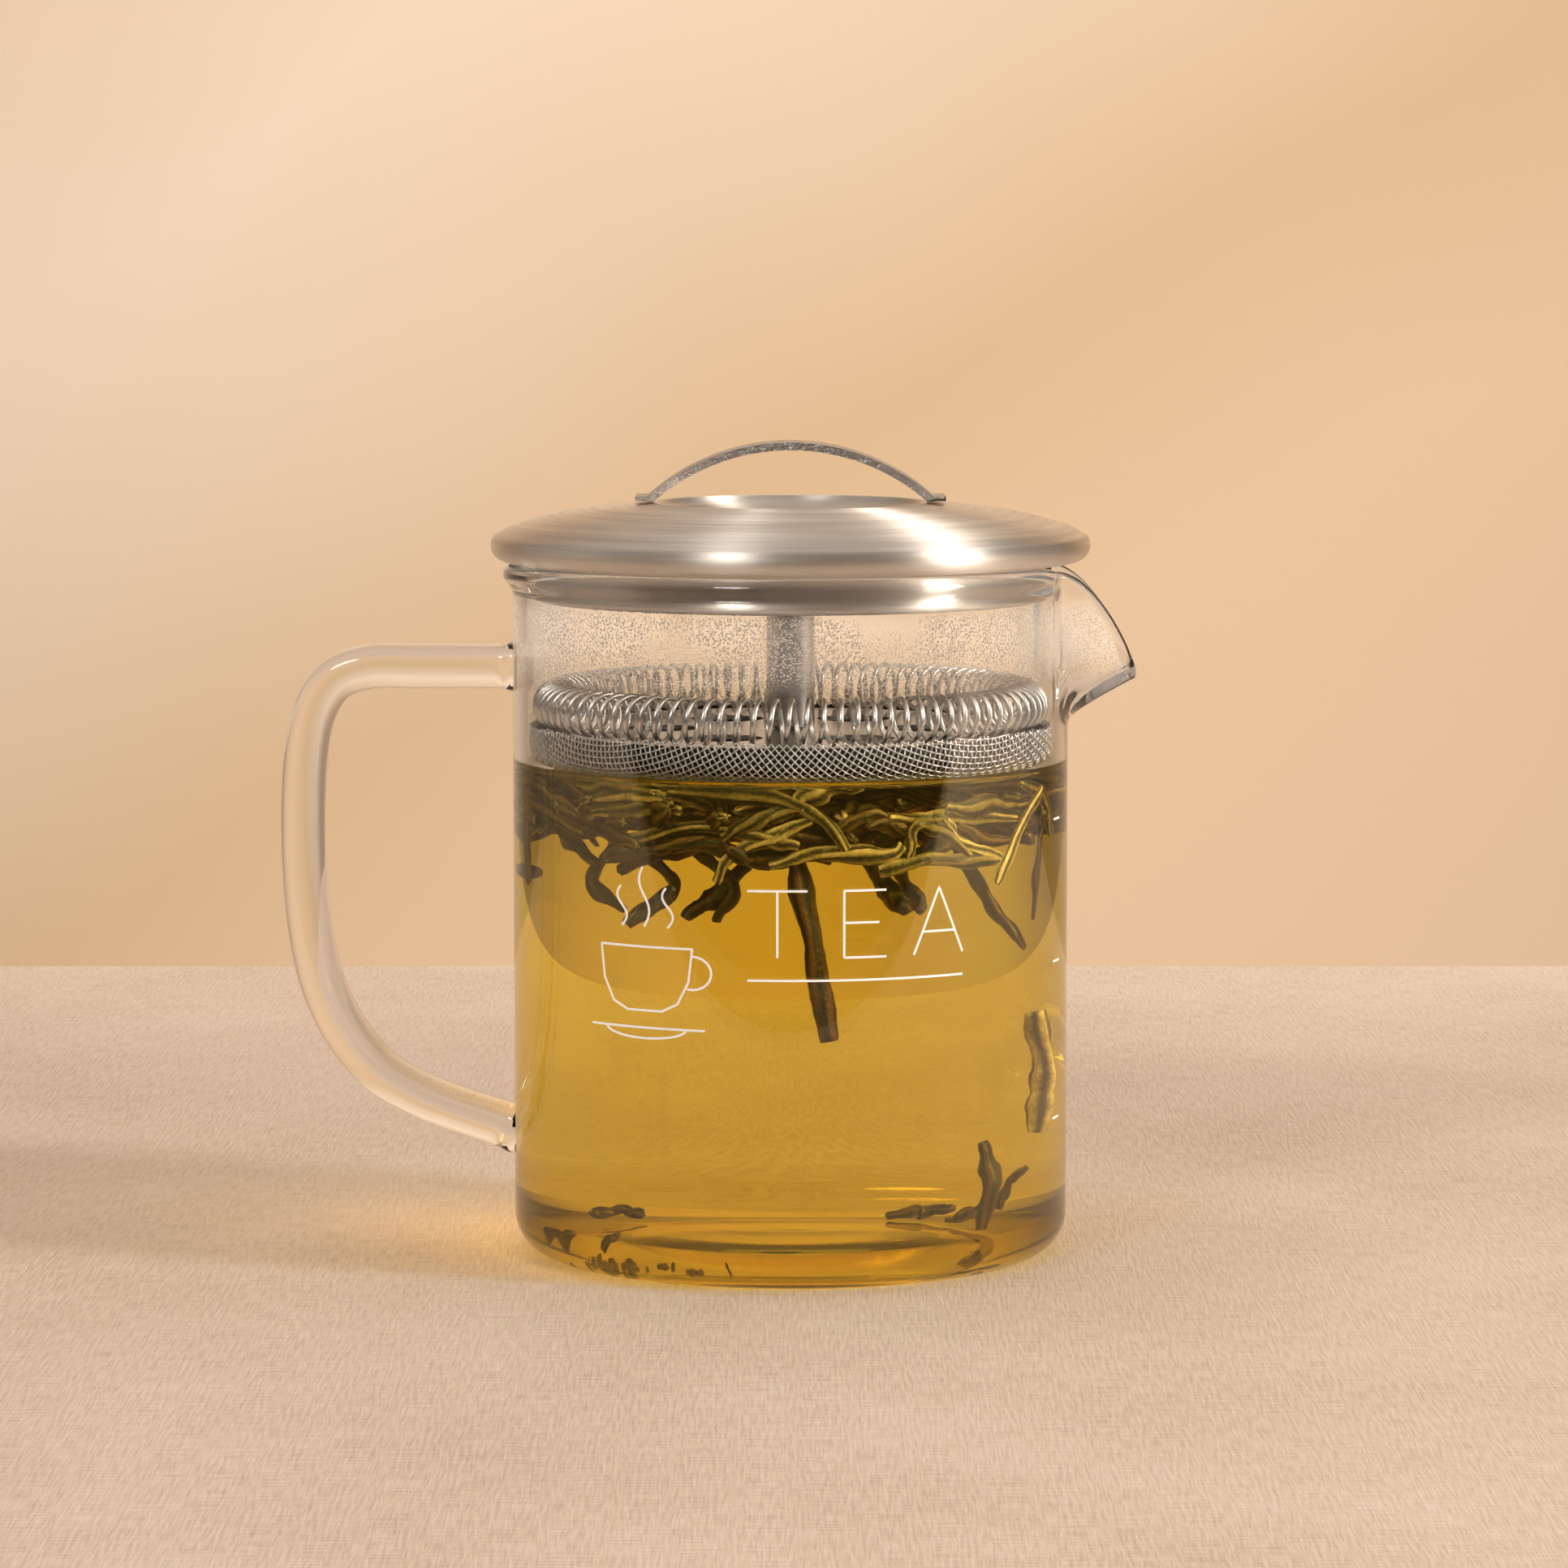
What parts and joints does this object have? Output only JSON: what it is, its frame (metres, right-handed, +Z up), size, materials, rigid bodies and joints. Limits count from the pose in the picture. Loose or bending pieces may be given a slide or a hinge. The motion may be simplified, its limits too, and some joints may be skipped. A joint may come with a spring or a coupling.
{
  "type": "glass teapot",
  "caption": "Small straight-sided glass teapot with a rod handle, a short beak spout and a steel lid that carries a spring-edged mesh strainer on a stem.",
  "frame": {"origin": "centre of the foot, on the surface the teapot stands on", "axes": "+Z up along the vessel's axis, +X towards the spout, the handle is on -X"},
  "size_m": [0.1326, 0.0926, 0.126],
  "materials": {
    "clear_glass": "clear fire-polished borosilicate glass",
    "brushed_lid_steel": "turned and brushed in circles",
    "satin_pan_steel": "satin",
    "spring_wire": "bright drawn wire",
    "woven_wire": "plain woven wire cloth"
  },
  "bodies": {
    "vessel": {"glass_vessel": "clear_glass", "side_handle": "clear_glass"},
    "lid": {"lid_top": "brushed_lid_steel", "lid_pan": "satin_pan_steel", "lid_grip": "satin_pan_steel", "stem_tube": "satin_pan_steel"},
    "strainer": {"spring_coil": "spring_wire", "strainer_plate": "satin_pan_steel", "strainer_mesh": "woven_wire", "clamp_plate": "satin_pan_steel", "clamp_screw": "satin_pan_steel"}
  },
  "joints": [
    {"name": "lid_lift", "type": "slide", "parent": "vessel", "child": "lid", "axis": [0, 0, 1], "range_m": [0, 0.05]},
    {"name": "strainer_unscrew", "type": "hinge", "parent": "lid", "child": "strainer", "pos_m": [0, 0, 0.08], "axis": [0, 0, 1], "continuous": true}
  ]
}
